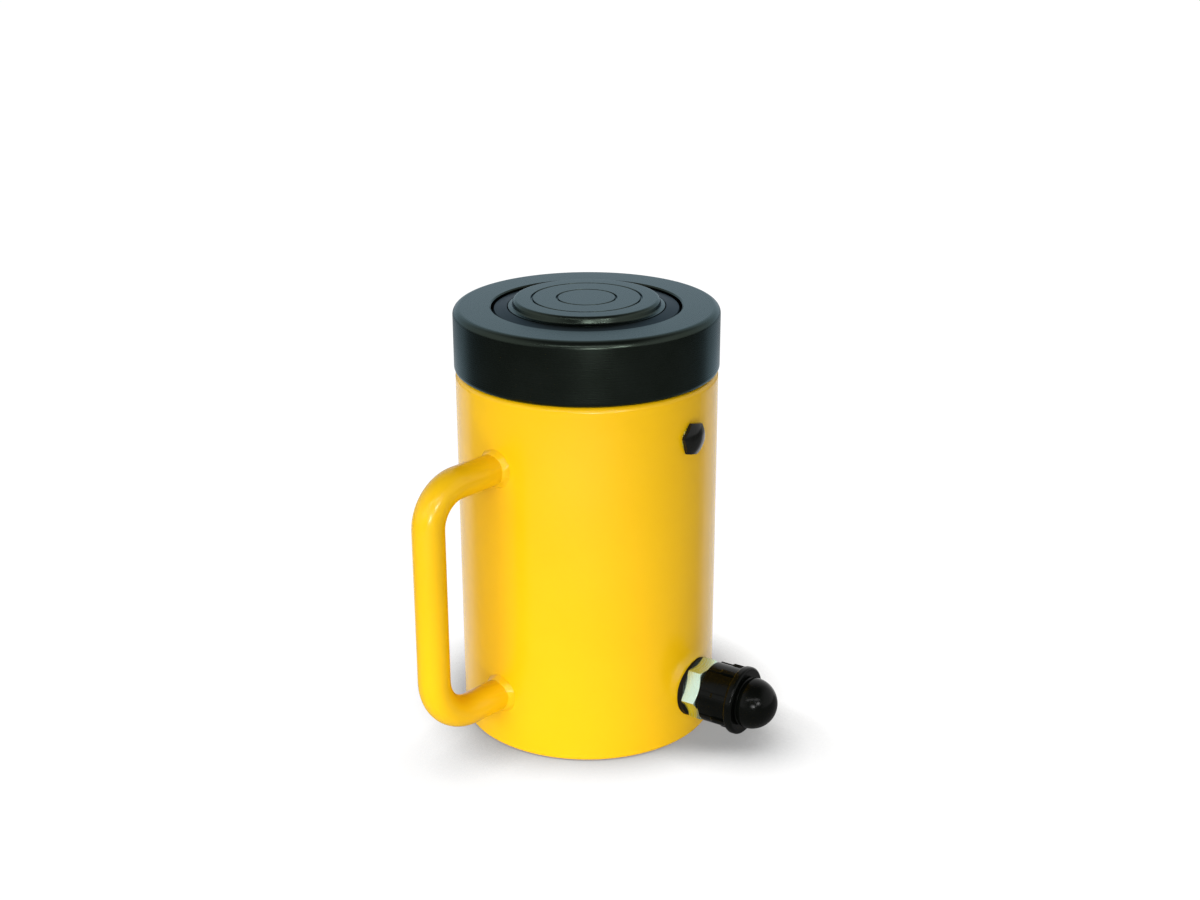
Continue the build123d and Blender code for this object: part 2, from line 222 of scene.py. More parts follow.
# %% [markdown]
# ## Enamel
# The body, its handle and the welds are sprayed together with a glossy yellow enamel. Under the
# gloss the colour is even, with a trace of cloudiness; the surface has the very faint ripple of
# sprayed paint, which only shows where a light is reflected.

# %% Yellow enamel
def yellow_enamel():
    """Two close yellows in soft clouds, with a smooth gloss and a fine ripple."""
    material, tree, shader, place = start_material("yellow_enamel")
    patches = place_group(tree, clouds, place, Size=60 * MM)
    colour = mix_colours(tree, patches, (0.95, 0.545, 0.004), (0.97, 0.565, 0.005))
    join(tree, colour, shader.inputs["Base Color"])
    ripple = add_node(tree, "ShaderNodeTexNoise", Scale=420.0, Detail=1.0)
    join(tree, place, ripple.inputs["Vector"])
    join(tree, bump(tree, ripple.outputs[0], 0.008 * MM), shader.inputs["Normal"])
    join(tree, remap(tree, patches, 0.0, 1.0, 0.20, 0.25), shader.inputs["Roughness"])
    shader.inputs["Specular IOR Level"].default_value = 0.32
    return material


# %% [markdown]
# ## Blackened steel
# The collar, the plunger and the saddle are turned steel with an oiled black oxide skin: nearly
# black from the front, blue-grey where it is seen at a shallow angle, with lathe rings and cloudy
# patches in its gloss. The plunger has a darker mix of its own, which is painted shade: its end
# lies in the shade between the collar and the saddle, so its colour and its edge tint are darkened.

# %% Black oxide steel
def black_oxide(name, dark, light, edge, rough):
    """An oxide skin as a very dark metal: two face-on tones and one tint at a shallow angle."""
    material, tree, shader, place = start_material(name)
    patches = place_group(tree, clouds, place, Size=25 * MM)
    rings = place_group(tree, lathe_rings, place, Spacing=0.6 * MM)
    join(tree, mix_colours(tree, patches, dark, light), shader.inputs["Base Color"])
    uneven = calculate(tree, "ADD", rings, calculate(tree, "MULTIPLY", patches, 0.4))
    gloss = remap(tree, uneven, 0.3, 1.1, rough - 0.02, rough + 0.03)
    join(tree, gloss, shader.inputs["Roughness"])
    join(tree, bump(tree, rings, 0.0003 * MM), shader.inputs["Normal"])
    shader.inputs["Metallic"].default_value = 1.0
    shader.inputs["Specular Tint"].default_value = (*edge, 1)
    return material


# %% [markdown]
# ## The other finishes
# Zinc plate is a bright metal with a pale green-yellow passivation. Bronze, ground steel, rubber,
# moulded plastic and seal materials each have their own colour, gloss and grain.

# %% Metals, rubbers and plastics
def plated_metal(name, first, second, rough, along=None):
    """A metal with rings of turning, cloudy plating and a colour between two tones."""
    material, tree, shader, place = start_material(name, along)
    patches = place_group(tree, clouds, place, Size=12 * MM)
    rings = place_group(tree, lathe_rings, place, Spacing=0.4 * MM)
    join(tree, mix_colours(tree, patches, first, second), shader.inputs["Base Color"])
    gloss = remap(tree, rings, 0.3, 0.7, rough - 0.05, rough + 0.06)
    join(tree, gloss, shader.inputs["Roughness"])
    join(tree, bump(tree, rings, 0.004 * MM), shader.inputs["Normal"])
    shader.inputs["Metallic"].default_value = 1.0
    return material


def moulded(name, first, second, rough, specular=0.5, grain_depth=0.01 * MM):
    """A moulded plastic or rubber: two close tones, and a fine grain in gloss and relief."""
    material, tree, shader, place = start_material(name)
    patches = place_group(tree, clouds, place, Size=20 * MM)
    grain = place_group(tree, clouds, place, Size=0.9 * MM)
    join(tree, mix_colours(tree, patches, first, second), shader.inputs["Base Color"])
    gloss = remap(tree, grain, 0.0, 1.0, rough - 0.04, rough + 0.06)
    join(tree, gloss, shader.inputs["Roughness"])
    join(tree, bump(tree, grain, grain_depth), shader.inputs["Normal"])
    shader.inputs["Specular IOR Level"].default_value = specular
    return material


# %% [markdown]
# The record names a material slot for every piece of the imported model, so each slot gets its finish
# once, and the pieces modelled later take theirs from the same list.

# %% Give every slot its finish
finishes = {
    "yellow_enamel": yellow_enamel(),
    "black_steel": black_oxide(
        "black_oxide", (0.026, 0.034, 0.027), (0.032, 0.041, 0.034), (0.67, 0.79, 0.875), 0.27
    ),
    "black_steel_bright": moulded(
        "black_oxide_plug", (0.006, 0.0065, 0.0055), (0.009, 0.0095, 0.0085), 0.14,
        specular=0.22, grain_depth=0.002 * MM,
    ),
    "zinc_steel": plated_metal(
        "zinc_plate", (0.64, 0.84, 0.68), (0.74, 0.93, 0.79), 0.24, along="port"
    ),
    "bright_steel": plated_metal("ground_steel", (0.52, 0.52, 0.54), (0.60, 0.60, 0.61), 0.26),
    "bush_bronze": plated_metal("bronze", (0.52, 0.33, 0.13), (0.60, 0.40, 0.17), 0.32),
    "bearing_strip": moulded("bearing_strip", (0.16, 0.09, 0.035), (0.20, 0.12, 0.05), 0.5),
    "seal_polyurethane": moulded("polyurethane", (0.30, 0.04, 0.015), (0.36, 0.06, 0.02), 0.34),
    "white_plastic": moulded("acetal", (0.70, 0.69, 0.64), (0.76, 0.75, 0.71), 0.4),
    "black_rubber": moulded(
        "rubber", (0.005, 0.005, 0.005), (0.009, 0.009, 0.009), 0.5, specular=0.1
    ),
    "black_plastic": moulded(
        "black_plastic", (0.0014, 0.0018, 0.0013), (0.0024, 0.003, 0.0023), 0.19,
        specular=0.11, grain_depth=0.004 * MM,
    ),
}
# Painted shade: the plunger's copy of the oxide is darker in colour and in edge tint.
stem_oxide_painted_shade = black_oxide(
    "black_oxide_stem_painted_shade", (0.022, 0.025, 0.024), (0.028, 0.032, 0.030), (0.50, 0.56, 0.62), 0.30
)

slot_of_node = {entry["node"]: entry["material_slot"] for entry in frame["record"]["subparts"]}
for node, slot_name in slot_of_node.items():
    for slot in frame["nodes"][node].material_slots:
        slot.material = finishes[slot_name]
print("finishes:", len(finishes), "on", len(frame["nodes"]), "nodes")


# %% [markdown]
# ## Turned pieces
# Most pieces of a cylinder come off a lathe, so one helper turns them as a lathe does. A tiny plane
# is merged to a single corner, that corner is extruded from point to point along half of the
# section, and the line is spun once round the axis. Doubled corners on the seam and at the poles
# are merged before the faces are turned outwards.

# %% Rounded outlines
def rounded(outline, roundings, steps=5):
    """Replaces some corners of a (radius, distance) outline with arcs, by index and radius."""
    result = []
    count = len(outline)
    for index, corner in enumerate(outline):
        if index not in roundings:
            result.append(corner)
            continue
        here = Vector(corner)
        before = (Vector(outline[index - 1]) - here).normalized()
        after = (Vector(outline[(index + 1) % count]) - here).normalized()
        half = before.angle(after) / 2
        radius = roundings[index]
        centre = here + (before + after).normalized() * radius / sin(half)
        start = here + before * radius / tan(half) - centre
        end = here + after * radius / tan(half) - centre
        sweep = start.angle(end)
        for step in range(steps + 1):
            share = step / steps
            weight_start, weight_end = sin((1 - share) * sweep), sin(share * sweep)
            point = centre + (start * weight_start + end * weight_end) / sin(sweep)
            result.append((point.x, point.y))
    return result


# %% Turn an outline
def start_plane(name, place, size=0.001):
    """Adds a plane with nothing else selected and goes into edit mode."""
    bpy.ops.object.select_all(action="DESELECT")
    bpy.ops.mesh.primitive_plane_add(size=size, location=place)
    piece = bpy.context.object
    piece.name = name
    bpy.ops.object.mode_set(mode="EDIT")
    return piece


def draw_line(name, points):
    """Merges a small plane to one corner and extrudes it along the points."""
    piece = start_plane(name, points[0])
    bpy.ops.mesh.merge(type="CENTER")
    for here, there in zip(points, points[1:]):
        bpy.ops.mesh.extrude_region_move(TRANSFORM_OT_translate={"value": there - here})
    bpy.ops.mesh.select_all(action="SELECT")
    return piece


def close_up(piece):
    """Merges doubled corners, turns the faces outwards and puts the object's origin at zero."""
    bpy.ops.mesh.select_all(action="SELECT")
    bpy.ops.mesh.remove_doubles(threshold=0.000002)
    bpy.ops.mesh.normals_make_consistent(inside=False)
    bpy.ops.object.mode_set(mode="OBJECT")
    bpy.ops.object.transform_apply(location=True, rotation=True, scale=True)
    return piece


def turned_piece(name, outline, centre=Vector(), along=upright, steps=96):
    """Turns half a section of (radius, distance) points round an axis through the centre."""
    aside = outward if along == upright else upright
    points = [centre + aside * radius + along * distance for radius, distance in outline]
    piece = draw_line(name, points)
    bpy.ops.mesh.spin(steps=steps, angle=2 * pi, center=centre, axis=along)
    return close_up(piece)


# %% [markdown]
# More tools of the workshop: a modifier is added with its values and applied at once; a cutter is
# taken away from a piece, joined to it, or kept only where both are, with a Boolean; and sharp edges
# are worn by a narrow bevel. The last helper gives a finished piece its material and body, and hides
# the solid it stands for. It also weights the normals by area, so that a flat face stays flat up to
# a narrow rounded edge.

# %% Apply, combine and finish
def pick(piece):
    """Selects one piece alone and makes it the active one."""
    bpy.ops.object.select_all(action="DESELECT")
    piece.select_set(True)
    bpy.context.view_layer.objects.active = piece


def apply_modifier(piece, kind, **settings):
    """Adds a modifier, sets its values and applies it."""
    pick(piece)
    modifier = piece.modifiers.new(kind.lower(), kind)
    for name, value in settings.items():
        setattr(modifier, name, value)
    bpy.ops.object.modifier_apply(modifier=modifier.name)


def combine(piece, tool, operation):
    """Applies a Boolean of the piece with a tool, then deletes the tool."""
    apply_modifier(piece, "BOOLEAN", operation=operation, object=tool, solver="EXACT")
    bpy.data.objects.remove(tool, do_unlink=True)


def wear_edges(piece, width, segments, angle):
    """Bevels the edges that turn by more than an angle in degrees."""
    apply_modifier(
        piece, "BEVEL", width=width, segments=segments, limit_method="ANGLE",
        angle_limit=radians(angle),
    )


def finish_piece(piece, node, body, smooth_angle=35, finish=None):
    """Gives a piece its node's finish, smooths its soft edges and puts it on its body."""
    slot_name = slot_of_node[node]
    piece.data.materials.clear()
    piece.data.materials.append(finish or finishes[slot_name])
    pick(piece)
    bpy.ops.object.shade_smooth_by_angle(angle=radians(smooth_angle))
    apply_modifier(piece, "WEIGHTED_NORMAL", mode="FACE_AREA", weight=80, keep_sharp=True)
    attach(piece, body)
    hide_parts(node)
    triangles = sum(len(face.vertices) - 2 for face in piece.data.polygons)
    print(piece.name, "rides on", body, "with", triangles, "triangles")


# %% [markdown]
# ## Threads
# A thread is cut by a tool with a trapezoid point that follows a helix. The tool's path is a solid
# coil: the trapezoid is drawn corner by corner, wound by a Screw modifier, which climbs one pitch
# each turn, and closed at its two ends. A Boolean then takes the coil away from the plain piece.
# The plunger's and the collar's threads come from the same numbers, half a pitch apart, so they
# stay a hair clear of each other however far the collar is turned.

# %% Thread cutter
def thread_coil(name, root, rim, pitch, start, turns, centre=Vector(), axis="Z"):
    """A coil with a trapezoid section; its root and its rim are each a radius and half a width."""
    along = outward if axis == "X" else upright
    aside = upright if axis == "X" else outward
    corners = [(root, -1), (rim, -1), (rim, 1), (root, 1), (root, -1)]
    points = [
        centre + aside * radius + along * (start + side * half) for (radius, half), side in corners
    ]
    coil = draw_line(name, points)
    bpy.ops.mesh.remove_doubles(threshold=0.000002)
    bpy.ops.object.mode_set(mode="OBJECT")
    bpy.context.scene.cursor.location = centre
    bpy.ops.object.origin_set(type="ORIGIN_CURSOR")
    apply_modifier(
        coil, "SCREW", axis=axis, screw_offset=pitch, iterations=turns, steps=64, render_steps=64
    )
    bpy.ops.object.mode_set(mode="EDIT")
    bpy.ops.mesh.select_all(action="SELECT")
    bpy.ops.mesh.remove_doubles(threshold=0.000002)
    bpy.ops.mesh.fill_holes(sides=4)
    return close_up(coil)


# %% [markdown]
# ## Plunger
# The plunger is one piece of steel: the piston head at the bottom with its ring grooves, and above
# it a long stem with a trapezoidal thread of 6 mm pitch. Its top is hollowed to a spherical seat
# for the tilting saddle. At rest only the top's dark ring shows; when the jack lifts, the thread
# comes out of the collar, so it has to be real.

# %% Plunger section
head_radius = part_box("plunger")[1].x
head_top = plunger_foot + 38.5 * MM
foot_radius = 60 * MM
stem_radius = 58 * MM
seat_radius = 60.3 * MM
seat_rim = 49.5 * MM
seat_centre = plunger_top + (seat_radius**2 - seat_rim**2) ** 0.5
lip_radius = 16.8 * MM
lip_bottom = seat_centre - seat_radius - 4.5 * MM
pocket_radius = 24.5 * MM
pocket_bottom = lip_bottom - 16.5 * MM


def seat_arc(steps=14):
    """Points of the spherical seat, from its rim down to where the saddle's spigot passes."""
    points = []
    for step in range(steps + 1):
        reach = seat_rim + (lip_radius - seat_rim) * step / steps
        points.append((reach, seat_centre - (seat_radius**2 - reach**2) ** 0.5))
    return points


def piston_groove(low, high, floor):
    """Four corners of a ring groove in the piston head, by its sides' heights over the foot."""
    low, high = plunger_foot + low, plunger_foot + high
    return [(head_radius, low), (floor, low), (floor, high), (head_radius, high)]


plunger_outline = [
    (0, plunger_foot), (foot_radius, plunger_foot), (foot_radius, plunger_foot + 10 * MM),
    (head_radius, plunger_foot + 14 * MM),
    *piston_groove(15.95 * MM, 22.05 * MM, 62.2 * MM),
    *piston_groove(23.95 * MM, 34.55 * MM, 57.2 * MM),
    (head_radius, head_top), (stem_radius, head_top), (stem_radius, plunger_top - 1.6 * MM),
    (stem_radius - 0.6 * MM, plunger_top - 1.0 * MM),
    *seat_arc(),
    (lip_radius, lip_bottom), (pocket_radius, lip_bottom), (pocket_radius, pocket_bottom),
    (0, pocket_bottom),
]
plunger = turned_piece("plunger_threaded", plunger_outline)
print("plunger from", round(plunger_foot, 4), "to", round(plunger_top, 4))

# %% [markdown]
# The gaps of the thread are half a pitch wide at its middle radius, and a hair more on each side,
# so that it runs free. The gaps of the stem widen outwards and those of the collar inwards.

# %% Cut the plunger's thread
pitch = 6 * MM
flank = tan(radians(15))
clearance = 0.1 * MM
thread_root = 54.8 * MM
thread_middle = 56.5 * MM
cutter_rim = stem_radius + 0.5 * MM
plain_collar = 5 * MM
thread_turns = 33
thread_top = plunger_top - plain_collar - pitch / 2


def gap_edge(radius, widens):
    """A radius of the thread's gap and half the gap's width there; widens is 1 or -1."""
    return radius, pitch / 4 + clearance + widens * flank * (radius - thread_middle)


stem_coil = thread_coil(
    "stem_coil", gap_edge(thread_root, 1), gap_edge(cutter_rim, 1),
    pitch, thread_top - thread_turns * pitch, thread_turns,
)
combine(plunger, stem_coil, "DIFFERENCE")
finish_piece(plunger, "plunger", "plunger", smooth_angle=30, finish=stem_oxide_painted_shade)

# %% [markdown]
# ## Saddle
# The saddle is a thick round plate with a spherical underside, which lets it lean by a few degrees
# when the load isn't level. Its spigot passes through the plunger's lip, and a rubber ring in a
# round groove keeps it there. Two turned grooves ring the top. The side ends in a low foot that
# reaches to the edge of the ball, so that no wide gap is left round it.

# %% Saddle section
ball_radius = 60 * MM
spigot_radius = 11 * MM
saddle_foot = 48.8 * MM
groove_radii = (34.0 * MM, 18.4 * MM)
groove_half, groove_floor_half, groove_depth = 0.75 * MM, 0.35 * MM, 1.1 * MM
saddle_bottom, saddle_top = (corner.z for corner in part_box("tilt_saddle"))
ring_low, ring_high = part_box("saddle_retaining_ring")
ring_height = (ring_low.z + ring_high.z) / 2
ring_half = (ring_high.z - ring_low.z) / 2
ring_radius = ring_high.x - ring_half


def under_ball(reach):
    """Height of the spherical underside at a distance from the axis."""
    return seat_centre - (ball_radius**2 - reach**2) ** 0.5


saddle_outline = [
    (0, saddle_bottom), (spigot_radius - 0.6 * MM, saddle_bottom),
    (spigot_radius, saddle_bottom + 0.6 * MM),
]
hollow = ring_half + 0.05 * MM
widest = acos((ring_radius - spigot_radius) / hollow)
for step in range(9):
    angle = widest * (step / 4 - 1)
    saddle_outline.append((ring_radius - hollow * cos(angle), ring_height + hollow * sin(angle)))
for step in range(15):
    reach = spigot_radius + (saddle_foot - spigot_radius) * step / 14
    saddle_outline.append((reach, under_ball(reach)))
saddle_outline += rounded(
    [
        (saddle_foot, plunger_top + 0.2 * MM), (46.3 * MM, plunger_top + 0.6 * MM),
        (45.5 * MM, saddle_top), (groove_radii[0] + groove_half, saddle_top),
    ],
    {1: 1.2 * MM, 2: 2.2 * MM},
)[:-1]
for radius in groove_radii:
    groove_floor = saddle_top - groove_depth
    saddle_outline += [
        (radius + groove_half, saddle_top), (radius + groove_floor_half, groove_floor),
        (radius - groove_floor_half, groove_floor), (radius - groove_half, saddle_top),
    ]
saddle_outline.append((0, saddle_top))
saddle = turned_piece("saddle_turned", saddle_outline, steps=128)
finish_piece(saddle, "tilt_saddle", "saddle", smooth_angle=30)

# %% [markdown]
# ## Lock nut
# The collar is a heavy turned ring with a softly rounded rim, which throws one thin light along the
# top edge. Its thread starts below a plain mouth, so that from above the joint with the plunger is
# a clean dark circle. The ring's section is turned, and the same kind of coil, half a pitch higher,
# cuts the gaps that the plunger's thread turns in.

# %% Lock nut
nut_crest = 55.3 * MM
nut_mouth = 59.5 * MM
mouth_depth = 7 * MM
lead_in = 0.8 * MM
nut_outline = rounded(
    [
        (nut_crest + lead_in, body_height),
        (nut_radius, body_height),
        (nut_radius, nut_top),
        (nut_mouth + lead_in, nut_top),
        (nut_mouth, nut_top - lead_in),
        (nut_mouth, nut_top - mouth_depth),
        (nut_crest, nut_top - mouth_depth - 3 * MM),
        (nut_crest, body_height + lead_in),
        (nut_crest + lead_in, body_height),
    ],
    {1: 3.5 * MM, 2: 4.5 * MM},
    steps=8,
)
lock_nut = turned_piece("lock_nut_collar", nut_outline, steps=128)
cutter_tip = nut_crest - 0.6 * MM
nut_turns = 8
thread_shift = (thread_top - pitch / 2 - body_height) % pitch
nut_coil = thread_coil(
    "nut_coil", gap_edge(nut_mouth, -1), gap_edge(cutter_tip, -1),
    pitch, body_height + thread_shift - pitch, nut_turns,
)
combine(lock_nut, nut_coil, "DIFFERENCE")
finish_piece(lock_nut, "lock_nut", "lock_nut", smooth_angle=30)

# %% [markdown]
# ## Coupler
# The coupler is turned from hexagon bar: a chamfered hexagon for the spanner, a threaded stub that
# screws into the port, and a threaded nose with a socket for the hose's nipple. The hexagon is a
# turned blank kept only where a six-sided prism also is, which leaves the curved edges that a
# chamfer makes on a hexagon. A narrow bevel wears its edges, so that they catch the light.

# %% Coupler section
hex_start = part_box("port_seal_washer")[1].x
stub_start, nose_end = (corner.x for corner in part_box("coupler_body"))
hex_end = hex_start + 10.9 * MM
hex_across = 34 * MM
hex_corner = hex_across / 3**0.5
hex_turn = radians(4.3)
nose_radius = 15.5 * MM
stub_radius = 8.5 * MM


def hexagon_bar(name, across, start, end, turn, centre, along):
    """A six-sided prism along an axis, one corner turned this far from level."""
    facing = Vector((-along.y, along.x, 0))
    level = facing * cos(turn) + upright * sin(turn)
    rotation = Matrix((level.cross(along), level, along)).transposed()
    bpy.ops.object.select_all(action="DESELECT")
    bpy.ops.mesh.primitive_cylinder_add(
        vertices=6, radius=across / 3**0.5, depth=end - start,
        location=centre + along * (start + end) / 2, rotation=rotation.to_euler(),
    )
    bar = bpy.context.object
    bar.name = name
    bpy.ops.object.mode_set(mode="EDIT")
    return close_up(bar)


# %% Coupler hexagon
chamfer_start = hex_end - 2.4 * MM
blank_radius = hex_corner + 1 * MM
coupler_outline = [
    (0, hex_start), (blank_radius, hex_start), (blank_radius, chamfer_start),
    (hex_corner, chamfer_start), (hex_across / 2 - 1.0 * MM, hex_end), (0, hex_end),
]
coupler = turned_piece("coupler_threaded", coupler_outline, port_centre, outward)
bar = hexagon_bar(
    "hex_bar", hex_across, hex_start - 1 * MM, hex_end + 1 * MM, hex_turn, port_centre, outward
)
combine(coupler, bar, "INTERSECT")
wear_edges(coupler, 0.45 * MM, 2, 24)
print("hexagon from", round(hex_start, 4), "to", round(hex_end, 4))

# %% [markdown]
# The stub and the nose are one hollow shank through the hexagon. From the port outwards its bore
# holds the valve, narrows to a throat and opens into the socket, which has a groove for the ring
# that seals the hose's nipple. The dust cap hides the nose's thread until it is unscrewed.

# %% Coupler shank
valve_radius, throat_radius, socket_radius = 6 * MM, 3.5 * MM, 10 * MM
socket_floor = nose_end - 11 * MM
cone_end = socket_floor - 2.5 * MM
seal_middle = nose_end - 5.5 * MM
seal_inner, seal_outer = seal_middle - 1.25 * MM, seal_middle + 1.25 * MM
seal_floor = socket_radius + 1.3 * MM
relief_radius = nose_radius - 0.9 * MM
shank_outline = [
    (valve_radius, stub_start), (stub_radius - 0.8 * MM, stub_start),
    (stub_radius, stub_start + 0.8 * MM), (stub_radius, hex_start + 0.5 * MM),
    (relief_radius, hex_start + 0.5 * MM), (relief_radius, hex_end + 1.5 * MM),
    (nose_radius, hex_end + 2.2 * MM), (nose_radius, nose_end - 1.2 * MM),
    (nose_radius - 1.2 * MM, nose_end), (socket_radius + 0.6 * MM, nose_end),
    (socket_radius, nose_end - 0.6 * MM), (socket_radius, seal_outer),
    (seal_floor, seal_outer), (seal_floor, seal_inner), (socket_radius, seal_inner),
    (socket_radius, socket_floor), (throat_radius, socket_floor), (throat_radius, cone_end),
    (valve_radius, cone_end - (valve_radius - throat_radius)), (valve_radius, stub_start),
]
bore_outline = [
    (0, hex_start - 2 * MM), (valve_radius, hex_start - 2 * MM),
    (valve_radius, hex_end + 2 * MM), (0, hex_end + 2 * MM),
]
combine(coupler, turned_piece("bore_tool", bore_outline, port_centre, outward), "DIFFERENCE")
shank = turned_piece("shank", shank_outline, port_centre, outward)
nose_pitch = 3 * MM
nose_turns = 6
nose_coil = thread_coil(
    "nose_coil", (nose_radius - 1.2 * MM, 0.5 * MM), (nose_radius + 0.4 * MM, 1.3 * MM),
    nose_pitch, hex_end + 2 * MM, nose_turns, port_centre, "X",
)
combine(shank, nose_coil, "DIFFERENCE")
combine(coupler, shank, "UNION")
finish_piece(coupler, "coupler_body", "cylinder", smooth_angle=28)

# %% [markdown]
# ## Dust cap
# The cap is moulded in black plastic: a ribbed skirt that screws on the nose, a flange to grip, a
# short neck and a domed end. The shell is turned as one closed wall, hollow up to the seal disc and
# with a narrower hollow in its dome.

# %% Dust cap shell
cap_low, cap_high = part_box("dust_cap")
cap_start, cap_end = cap_low.x, cap_high.x
flange_radius = cap_high.y
skirt_radius = 19.2 * MM
inner_radius = nose_radius + 0.3 * MM
inner_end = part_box("cap_seal_disc")[1].x
hollow_radius, hollow_end = 9 * MM, cap_end - 11 * MM
dome_radius = 16.2 * MM
dome_centre = cap_end - dome_radius
dome_rim = (dome_radius**2 - (2.4 * MM) ** 2) ** 0.5
dome_tilt = -0.13
dome_steps = 19
flange_end = dome_centre - 4.0 * MM
flange_start = flange_end - 5.7 * MM
neck_radius, neck_end = 14.2 * MM, flange_end + 1.6 * MM
cap_outline = [
    (inner_radius, cap_start), (skirt_radius, cap_start), (skirt_radius, flange_start),
    (flange_radius, flange_start), (flange_radius, flange_end), (15.3 * MM, flange_end),
    (neck_radius, flange_end + 1.1 * MM), (neck_radius, neck_end), (dome_rim - 0.3 * MM, neck_end),
]
cap_outline = rounded(cap_outline, {1: 0.5 * MM, 2: 0.8 * MM, 3: 1.9 * MM, 4: 1.9 * MM})
for step in range(1, dome_steps):
    tilt = dome_tilt + (pi / 2 - dome_tilt) * step / dome_steps
    cap_outline.append((dome_radius * cos(tilt), dome_centre + dome_radius * sin(tilt)))
cap_outline += [
    (0, cap_end), (0, hollow_end), (hollow_radius, hollow_end), (hollow_radius, inner_end),
    (inner_radius, inner_end), (inner_radius, cap_start),
]
dust_cap = turned_piece("dust_cap_moulded", cap_outline, port_centre, outward, steps=128)
print("cap from", round(cap_start, 4), "to", round(cap_end, 4))

# %% [markdown]
# Seven ribs give the fingers a hold. Each is low at the cap's mouth and steps up near the flange.
# A rib is one box, cut across where it steps and lowered on one side of the cuts, and it is made
# the same way at each of its seven places.

# %% Dust cap ribs
rib_count = 7
rib_turn = 54
rib_width = 3.2 * MM
rib_start = cap_start + 0.5 * MM
rib_step = cap_start + 9.0 * MM
rib_end = flange_start + 1.0 * MM
rib_foot = skirt_radius - 1.0 * MM
low_rib, high_rib = skirt_radius + 0.7 * MM, skirt_radius + 1.6 * MM


def move_selected(piece, test, shift):
    """Selects the corners that pass a test on their place and moves them."""
    bpy.ops.mesh.select_all(action="DESELECT")
    bpy.ops.object.mode_set(mode="OBJECT")
    for corner in piece.data.vertices:
        corner.select = test(piece.matrix_world @ corner.co)
    bpy.ops.object.mode_set(mode="EDIT")
    bpy.ops.transform.translate(value=shift)


def on_low_part(place):
    """Says whether a place is on top of a rib, before its step."""
    return place.x < rib_step + 0.5 * MM and place.z > port_height + (low_rib + high_rib) / 2


def cap_rib(index):
    """One stepped rib, turned to its place round the cap."""
    bpy.ops.object.select_all(action="DESELECT")
    bpy.ops.mesh.primitive_cube_add(
        size=1, location=((rib_start + rib_end) / 2, 0, port_height + (rib_foot + high_rib) / 2)
    )
    rib = bpy.context.object
    rib.name = f"rib_{index}"
    bpy.ops.object.mode_set(mode="EDIT")
    bpy.ops.transform.resize(value=(rib_end - rib_start, rib_width, high_rib - rib_foot))
    for cut in (rib_step, rib_step + 1.0 * MM):
        bpy.ops.mesh.select_all(action="SELECT")
        bpy.ops.mesh.bisect(plane_co=(cut, 0, 0), plane_no=outward)
    move_selected(rib, on_low_part, (0, 0, low_rib - high_rib))
    bpy.ops.mesh.select_all(action="SELECT")
    turn = radians(rib_turn - 90 + index * 360 / rib_count)
    bpy.ops.transform.rotate(
        value=-turn, orient_axis="X", orient_type="GLOBAL", center_override=(0, 0, port_height)
    )
    close_up(rib)
    wear_edges(rib, 0.35 * MM, 2, 30)
    return rib


for index in range(rib_count):
    combine(dust_cap, cap_rib(index), "UNION")
finish_piece(dust_cap, "dust_cap", "dust_cap", smooth_angle=32)

# %% [markdown]
# ## Vent plug
# High on the side a low hexagon plug closes the vent. Its head is domed and its edges are worn
# soft, which gives it a small bright spot instead of hard lines. It is made as the coupler's
# hexagon was, from a turned blank and a six-sided bar, along its own axis.

# %% Vent plug
seat_low, seat_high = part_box("vent_plug_seal")
seat_middle = (seat_low + seat_high) / 2
vent_centre = upright * seat_middle.z
vent_line = (seat_middle - vent_centre).normalized()
seal_thickness = 1.2 * MM
vent_start = (seat_middle - vent_centre).length + seal_thickness / 2
vent_tip = vent_start + 4.8 * MM
print("vent plug", round(seat_middle.z, 4), "up, tip at", round(vent_tip, 4))

vent_across = 19 * MM
vent_turn = radians(-13)
vent_blank = 12 * MM
vent_dome = 20 * MM
dome_outline = [(0, vent_start), (vent_blank, vent_start)]
for step in range(9):
    reach = vent_blank * (1 - step / 8)
    dome_outline.append((reach, vent_tip - vent_dome + (vent_dome**2 - reach**2) ** 0.5))
vent_plug = turned_piece("vent_plug_domed", dome_outline, vent_centre, vent_line, steps=64)
vent_bar = hexagon_bar(
    "vent_bar", vent_across, vent_start - 1 * MM, vent_tip + 1 * MM,
    vent_turn, vent_centre, vent_line,
)
combine(vent_plug, vent_bar, "INTERSECT")
wear_edges(vent_plug, 0.8 * MM, 3, 28)
screw_radius = 6.5 * MM
screw_end = 69 * MM
screw_outline = [
    (0, screw_end), (screw_radius - 0.9 * MM, screw_end), (screw_radius, screw_end + 0.9 * MM),
    (screw_radius, vent_start + 0.5 * MM), (0, vent_start + 0.5 * MM),
]
vent_screw = turned_piece("vent_shank", screw_outline, vent_centre, vent_line, steps=48)
combine(vent_plug, vent_screw, "UNION")
finish_piece(vent_plug, "vent_plug", "cylinder", smooth_angle=30)

# %% [markdown]
# ## Handle welds
# The handle's bar meets the wall in two fillet welds under the paint. A fillet weld slopes from the
# bar to the wall, so its section is turned round the leg's axis, pressed back to follow the wall's
# curve, and roughened by a Displace modifier with a cloud texture, which gives the uneven lumps of
# drops that overlap.

# %% Weld beads
handle_angle = radians(-99.4)
handle_line = Vector((cos(handle_angle), sin(handle_angle), 0))
bead_texture = bpy.data.textures.new("weld_lumps", "CLOUDS")
bead_texture.noise_scale = 6 * MM
bead_texture.noise_depth = 1
bead_section = [
    (8.6, -1.4), (12.9, -1.4), (12.6, -0.3), (12.2, 0.5), (11.7, 1.3), (11.2, 2.0), (10.7, 2.7),
    (10.2, 3.3), (9.6, 3.7), (8.6, 3.7), (8.6, -1.4),
]


